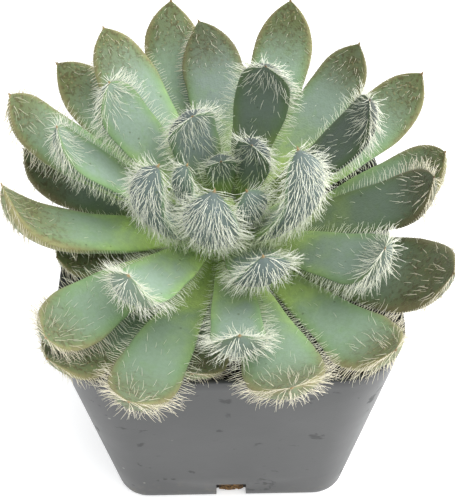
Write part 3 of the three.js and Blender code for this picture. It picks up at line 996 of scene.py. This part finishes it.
def leaf_arrays(leaf, index, settings):
    """Points, faces, margin edges, hair directions and stored values of one leaf's skin."""
    shape = leaf_shape(leaf)
    sides = settings.sides
    share = np.linspace(0.0, 1.0, settings.stations)
    s = 1 - (1 - share * 0.997) ** 1.5
    middle, along, across, facing = leaf_frames(shape, s)
    point_radius, point_length = 0.22, 0.6
    half = np.maximum(shape["width"] / 2 * width_share(shape, s), point_radius)
    thick = np.maximum(shape["thickness"] * thickness_share(s), point_radius * 1.6)
    turn = 2 * np.pi * np.arange(sides) / sides
    wide, tall = np.cos(turn), np.sin(turn)
    edge = (np.abs(wide) ** 6)[:, None]
    is_under = smooth_step(-tall, -0.1, 0.25)
    young = shape["ring"] in ("heart", "inner")
    points, combed = [], []
    values = {key: [] for key in ("along", "rim", "under", "point", "worn", "furry", "reach")}
    for k in range(len(s)):
        # The rounded underside gathers to a soft keel, and the upper face is flatter.
        keel = 0.12 * np.maximum(0.0, -tall) ** 6 * smooth_step(s[k], 0.3, 0.8)
        depth = np.where(tall > 0, shape["bulge"], SHARE_BELOW_EDGE * (1 + keel))
        hollow = -0.10 * np.maximum(tall, 0) ** 2 * smooth_step(s[k], 0.15, 0.5)
        # Two slow waves along the leaf make its edges uneven.
        wave = 1 + 0.03 * math.sin(7 * s[k] + index) + 0.018 * math.sin(23 * s[k] + 2.1 * index)
        x = half[k] * wave * wide
        y = thick[k] * (depth * tall + hollow)
        points.append(middle[k] + x[:, None] * across[k] + y[:, None] * facing[k])
        out = np.stack([wide / max(half[k], 0.3), tall / max(thick[k] * 0.5, 0.3)], axis=1)
        out /= np.linalg.norm(out, axis=1)[:, None]
        normal = out[:, :1] * across[k] + out[:, 1:] * facing[k]
        # Hairs lie back from the tip, fan out sideways and stand straight out at the edges.
        end = smooth_step(s[k], 0.95, 1.0)
        back = (0.85 if young else 0.6) * (1 - end) * (1 - edge) - 0.45 * end
        combed.append(
            normal * (0.52 + 0.4 * end + 0.2 * edge)
            + across[k] * wide[:, None] * (0.45 + 0.75 * edge)
            - along[k] * back - facing[k] * 0.12 * edge)
        # Hairs thicken into a tuft near the tip and are sparse and short near the stem.
        near_tip = smooth_step(s[k], 0.68, 0.92)
        grown = smooth_step(s[k], 0.02, 0.2)
        far = grown if young else smooth_step(s[k], 0.2, 0.75)
        below = shape["under"] + (1 - shape["under"]) * near_tip * (1.0 if young else 0.45)
        above = shape["face"] + (shape["tuft"] - shape["face"]) * near_tip
        long = np.maximum(is_under, edge[:, 0])
        short = 0.9 if young else 0.5 + 0.25 * near_tip
        values["along"].append(np.full(sides, s[k]))
        values["rim"].append(np.abs(wide))
        values["under"].append(is_under)
        values["point"].append(np.full(sides, smooth_step(s[k], 0.988, 0.999)))
        reached = s[k] + shape["wear"] + 0.14 * edge[:, 0] - 0.05
        values["worn"].append(shape["worn"] * smooth_step(reached, 0.62, 0.90))
        values["furry"].append(grown * (is_under * below + (1 - is_under) * above))
        values["reach"].append(
            shape["reach"] * (short + (1 - short) * long) * (0.42 + 0.58 * far))
    # A small cone past the last section makes the leaf's point.
    root, tip = middle[0], middle[-1] + along[-1] * point_length
    points = np.concatenate(points + [[root, tip]])
    combed = np.concatenate(combed + [[-along[0], along[-1]]])
    combed /= np.linalg.norm(combed, axis=1)[:, None]
    ends = {"along": [0.0, 1.0], "rim": [0.0, 0.5], "under": [0.5, 0.5], "point": [0.0, 1.0],
            "worn": [0.0, shape["worn"]], "furry": [0.0, 1.0], "reach": [0.5, shape["reach"]]}
    for key in values:
        values[key] = np.concatenate(values[key] + [ends[key]])
    # Slow unevenness, so that no two leaves are quite alike.
    lumps = np.array([rough(p, 4.5, 3.0 + index) for p in points])
    points[:, 2] += 0.10 * lumps * np.sin(np.pi * np.clip(values["along"], 0, 0.9) / 0.9)
    place = np.array(leaf_matrix(shape["around"], shape["up"]))
    points = points @ place[:3, :3].T + place[:3, 3]
    combed = combed @ place[:3, :3].T
    rows, count = len(s), len(s) * sides
    last = count - sides
    faces = ring_faces(rows, sides)
    faces += [(count, (k + 1) % sides, k) for k in range(sides)]
    faces += [(count + 1, last + k, last + (k + 1) % sides) for k in range(sides)]
    edges = [(k * sides + side, (k + 1) * sides + side)
             for k in range(rows - 1) for side in (0, sides // 2)]
    # Painted light and shade: the leaf's listed lightness, with a small random spread of its own
    # tone.
    values["tone"] = np.full(
        len(points), shape["tone"] * (1.0 + 0.08 * rough((3.7 * index, 0.4, 0.0), 1.0)))
    values["grey"] = np.full(len(points), shape["grey"])
    values["greenish"] = 0.85 * (1 - smooth_step(values["along"], 0.25, 0.8)) + 0.12
    values["tan"] = 0.4 * values["worn"]
    return points, faces, edges, combed, values


def leaf_names():
    """Each leaf with the name of its CAD node."""
    counts = {}
    for leaf in LEAVES:
        counts[leaf[0]] = counts.get(leaf[0], 0) + 1
        yield f"leaf_{leaf[0]}_{counts[leaf[0]]}", leaf


class SUCCULENT_OT_make_leaves(bpy.types.Operator):
    """Makes the skin of every leaf in place of its plain CAD solid"""
    bl_idname = "succulent.make_leaves"
    bl_label = "Make Leaves"

    def execute(self, context):
        settings = context.scene.succulent_leaf
        young = leaf_material(settings, "leaf_skin_young", settings.young_colour)
        grown = leaf_material(settings, "leaf_skin_grown", settings.face_colour)
        looks = {"heart": young, "inner": young}
        slots = {"heart": "leaf_inner", "inner": "leaf_inner", "middle": "leaf",
                 "outer": "leaf", "lower": "leaf", "old": "leaf_old"}
        for index, (node, leaf) in enumerate(leaf_names()):
            points, faces, _, _, values = leaf_arrays(leaf, index, settings)
            skin = mesh_object(node + "_skin", points, faces)
            for key in ("along", "rim", "under", "point", "worn", "tone", "grey"):
                add_values(skin.data, key, values[key])
            skin.data.materials.append(looks.get(leaf[0], grown))
            settle(skin, node, slot=slots[leaf[0]])
        return {"FINISHED"}


# ---- Hairs -----------------------------------------------------------------------------------
FIRST_HAIR_SEED = 5
# Each input of the tree, with the setting that it is set from.
HAIR_INPUTS = {
    "Length": "length", "Root Radius": "root_radius", "End Radius": "end_radius",
    "Spacing": "spacing", "Margin Spacing": "margin_spacing", "Bend": "bend",
    "Untidiness": "untidiness",
}


def bristles_tree():
    """Geometry Nodes: bent tapering hairs over the faces and in a comb along the edges."""
    tree, entry = new_geometry_tree(
        "Leaf Bristles", {**dict.fromkeys(HAIR_INPUTS, "Float"), "Seed": "Int"})

    # One hair: a three-sided cone that curls over along its length.
    cone = add_node(
        tree, "GeometryNodeMeshCone",
        {"Vertices": 3, "Side Segments": 3, "Radius Top": entry["End Radius"],
         "Radius Bottom": entry["Root Radius"], "Depth": entry["Length"]}, fill_type="NGON")
    spot = add_node(tree, "GeometryNodeInputPosition")
    parts = add_node(tree, "ShaderNodeSeparateXYZ", {0: spot.outputs[0]})
    share = math_node(tree, "DIVIDE", parts.outputs["Z"], entry["Length"])
    curl = math_node(tree, "MULTIPLY", math_node(tree, "POWER", share, 2.0), entry["Bend"])
    shift = math_node(tree, "MULTIPLY", curl, entry["Length"])
    offset = add_node(tree, "ShaderNodeCombineXYZ", {"X": shift})
    hair = add_node(
        tree, "GeometryNodeSetPosition",
        {"Geometry": cone.outputs["Mesh"], "Offset": offset.outputs[0]})

    # Where hairs stand: scattered on the faces, and evenly along the marked edges.
    scattered = scatter(tree, entry, stored_value(tree, "furry"), 5.0e6)
    margins = add_node(
        tree, "GeometryNodeMeshToCurve",
        {"Mesh": entry["Geometry"], "Selection": stored_value(tree, "margin", "BOOLEAN")})
    comb = add_node(
        tree, "GeometryNodeResampleCurve",
        {"Curve": margins.outputs[0], "Length": entry["Margin Spacing"]}, mode="LENGTH")

    def stand_hairs(points, seed, stray_share):
        """Stands a hair on each point, combed as the stored direction says."""
        stray = random_vector(tree, (-1.0, -1.0, -1.0), (1.0, 1.0, 1.0), seed)
        wild = math_node(tree, "MULTIPLY", entry["Untidiness"], stray_share)
        way = vector_node(tree, "ADD", {
            0: stored_value(tree, "combed", "FLOAT_VECTOR"),
            1: vector_node(tree, "SCALE", {0: stray, "Scale": wild})})
        aimed = add_node(
            tree, "FunctionNodeAlignRotationToVector", {"Vector": way}, axis="Z")
        spun = add_node(
            tree, "FunctionNodeAxisAngleToRotation",
            {"Axis": (0.0, 0.0, 1.0), "Angle": random_number(tree, 0.0, 6.2832, seed + 1)})
        turned = add_node(
            tree, "FunctionNodeRotateRotation",
            {"Rotation": aimed.outputs[0], "Rotate By": spun.outputs[0]},
            rotation_space="LOCAL")
        scale = math_node(
            tree, "MULTIPLY", random_number(tree, 0.7, 1.15, seed + 2),
            stored_value(tree, "reach"))
        lengthwise = add_node(
            tree, "ShaderNodeCombineXYZ", {"X": scale, "Y": 1.0, "Z": scale})
        return place_copies(
            tree, points, hair.outputs[0], turned.outputs[0], lengthwise.outputs[0])

    both = add_node(tree, "GeometryNodeJoinGeometry")
    tree.links.new(stand_hairs(scattered, 11, 1.0), both.inputs[0])
    tree.links.new(stand_hairs(comb.outputs[0], 23, 0.6), both.inputs[0])
    return end_tree(tree, both.outputs[0], entry["Material"])


class SUCCULENT_OT_make_hairs(bpy.types.Operator):
    """Grows the cream hairs of every ring of leaves"""
    bl_idname = "succulent.make_hairs"
    bl_label = "Make Hairs"

    def execute(self, context):
        settings = context.scene.succulent_hair
        material = hair_material(settings)
        tree = bristles_tree()
        for number, ring in enumerate(RINGS):
            hairs = self.ring_surface(ring, context.scene.succulent_leaf)
            values = {label: getattr(settings, key) for label, key in HAIR_INPUTS.items()}
            run_tree(hairs, tree, {**values, "Seed": FIRST_HAIR_SEED + number,
                                   "Material": material})
            hairs.data.shade_smooth()
            if not hairs.data.polygons:
                raise RuntimeError(f"no hairs grew on the {ring} ring")
            settle(hairs, slot="hairs")
        return {"FINISHED"}

    def ring_surface(self, ring, settings):
        """The skins of one ring in one mesh, with all that steers the hairs stored on it."""
        points, faces, edges, combed = [], [], [], []
        values = {"furry": [], "reach": [], "tan": [], "greenish": []}
        for index, leaf in enumerate(LEAVES):
            if leaf[0] != ring:
                continue
            start = sum(len(p) for p in points)
            p, f, e, c, v = leaf_arrays(leaf, index, settings)
            points.append(p)
            combed.append(c)
            faces += [tuple(start + i for i in face) for face in f]
            edges += [tuple(start + i for i in edge) for edge in e]
            for key in values:
                values[key].append(v[key])
        surface = mesh_object("hairs_" + ring, np.concatenate(points), faces)
        for key in values:
            add_values(surface.data, key, np.concatenate(values[key]))
        add_values(surface.data, "combed", np.concatenate(combed), "FLOAT_VECTOR")
        wanted = {tuple(sorted(edge)) for edge in edges}
        marks = [tuple(sorted(edge.vertices)) in wanted for edge in surface.data.edges]
        layer = surface.data.attributes.new("margin", "BOOLEAN", "EDGE")
        layer.data.foreach_set("value", marks)
        return surface


# ---- Stage -----------------------------------------------------------------------------------
class SUCCULENT_OT_make_stage(bpy.types.Operator):
    """Makes the pale floor, the soft lights and the camera"""
    bl_idname = "succulent.make_stage"
    bl_label = "Make Stage"

    def execute(self, context):
        settings = context.scene.succulent_stage
        self.make_floor()
        self.make_world(context, settings)
        # Each light's width and place in metres.
        self.make_light("key_light", settings.key_power, 0.70, (0.20, -0.05, 0.68))
        self.make_light("side_light", settings.side_power, 0.30, (0.55, 0.05, 0.20))
        self.make_camera(context, settings)
        context.scene.view_settings.view_transform = "Standard"
        return {"FINISHED"}

    def make_floor(self):
        """A wide pale floor that glows a little, so that its shadows stay light."""
        reach = 3000.0
        corners = [(-reach, -reach, 0), (reach, -reach, 0), (reach, reach, 0), (-reach, reach, 0)]
        floor = mesh_object("floor", corners, [(0, 1, 2, 3)])
        paint = Paint(
            "pale_floor", 0.9, Base_Color=(0.9, 0.9, 0.9, 1.0), Specular_IOR_Level=0.1,
            Emission_Color=(1.0, 1.0, 1.0, 1.0), Emission_Strength=0.4)
        floor.data.materials.append(paint.material)

    def make_world(self, context, settings):
        """Even light from all round, a touch cool."""
        world = bpy.data.worlds.new("soft_room")
        world.use_nodes = True
        back = world.node_tree.nodes["Background"]
        back.inputs["Color"].default_value = (0.97, 0.985, 1.0, 1.0)
        back.inputs["Strength"].default_value = settings.ambient
        context.scene.world = world

    def make_light(self, name, power, size, place):
        """A square light that faces the middle of the pot's rim."""
        light = bpy.data.lights.new(name, "AREA")
        light.energy = power
        light.size = size
        lamp = bpy.data.objects.new(name, light)
        bpy.context.scene.collection.objects.link(lamp)
        target = Vector((0.0, 0.0, POT_HEIGHT * MM))
        lamp.location = place
        lamp.rotation_euler = (target - Vector(place)).to_track_quat("-Z", "Y").to_euler()

    def make_camera(self, context, settings):
        """The camera looks at the rim's middle from the front, held a touch low and tilted."""
        turn = math.radians(-0.43)
        roll = math.radians(-0.66)
        look_low = math.radians(0.55)
        tilt = settings.elevation
        target = Vector((0.0, 0.0, POT_HEIGHT * MM))
        back = Vector((
            math.sin(turn) * math.cos(tilt), -math.cos(turn) * math.cos(tilt), math.sin(tilt)))
        place = target + settings.distance * back
        right = Vector((math.cos(turn), math.sin(turn), 0.0))
        aim = Matrix.Rotation(-look_low, 3, right)
        back = aim @ back
        up = back.cross(right)
        rolled_right = math.cos(roll) * right + math.sin(roll) * up
        rolled_up = -math.sin(roll) * right + math.cos(roll) * up
        camera = bpy.data.cameras.new("camera")
        camera.angle = settings.view_angle
        camera.clip_start = 0.005
        holder = bpy.data.objects.new("camera", camera)
        context.scene.collection.objects.link(holder)
        holder.matrix_world = Matrix((
            (rolled_right.x, rolled_up.x, back.x, place.x),
            (rolled_right.y, rolled_up.y, back.y, place.y),
            (rolled_right.z, rolled_up.z, back.z, place.z),
            (0.0, 0.0, 0.0, 1.0)))
        context.scene.camera = holder


# ---- Panel and registration ------------------------------------------------------------------
class SUCCULENT_PT_panel(bpy.types.Panel):
    """Lists the steps that build the potted succulent"""
    bl_idname = "SUCCULENT_PT_panel"
    bl_label = "Potted Succulent"
    bl_space_type = "VIEW_3D"
    bl_region_type = "UI"
    bl_category = "Succulent"

    def draw(self, context):
        groups = (
            ("succulent_pot", ("succulent.make_pot",)),
            ("succulent_soil", ("succulent.make_soil", "succulent.make_stem")),
            ("succulent_leaf", ("succulent.make_leaves",)),
            ("succulent_hair", ("succulent.make_hairs",)),
            ("succulent_stage", ("succulent.make_stage",)),
        )
        for group_name, operators in groups:
            box = self.layout.box()
            group = getattr(context.scene, group_name)
            for key in group.bl_rna.properties.keys():
                if key not in ("rna_type", "name"):
                    box.prop(group, key)
            for operator in operators:
                box.operator(operator)


SETTINGS = {
    "succulent_pot": PotSettings,
    "succulent_soil": SoilSettings,
    "succulent_leaf": LeafSettings,
    "succulent_hair": HairSettings,
    "succulent_stage": StageSettings,
}
CLASSES = (
    *SETTINGS.values(),
    SUCCULENT_OT_make_pot,
    SUCCULENT_OT_make_soil,
    SUCCULENT_OT_make_stem,
    SUCCULENT_OT_make_leaves,
    SUCCULENT_OT_make_hairs,
    SUCCULENT_OT_make_stage,
    SUCCULENT_PT_panel,
)


def register():
    for cls in CLASSES:
        bpy.utils.register_class(cls)
    for name, group in SETTINGS.items():
        setattr(bpy.types.Scene, name, PointerProperty(type=group))


def unregister():
    for name in SETTINGS:
        delattr(bpy.types.Scene, name)
    for cls in reversed(CLASSES):
        bpy.utils.unregister_class(cls)


def main():
    register()
    bpy.ops.succulent.make_pot()
    bpy.ops.succulent.make_soil()
    bpy.ops.succulent.make_stem()
    bpy.ops.succulent.make_leaves()
    bpy.ops.succulent.make_hairs()
    bpy.ops.succulent.make_stage()


if __name__ == "__main__":
    main()
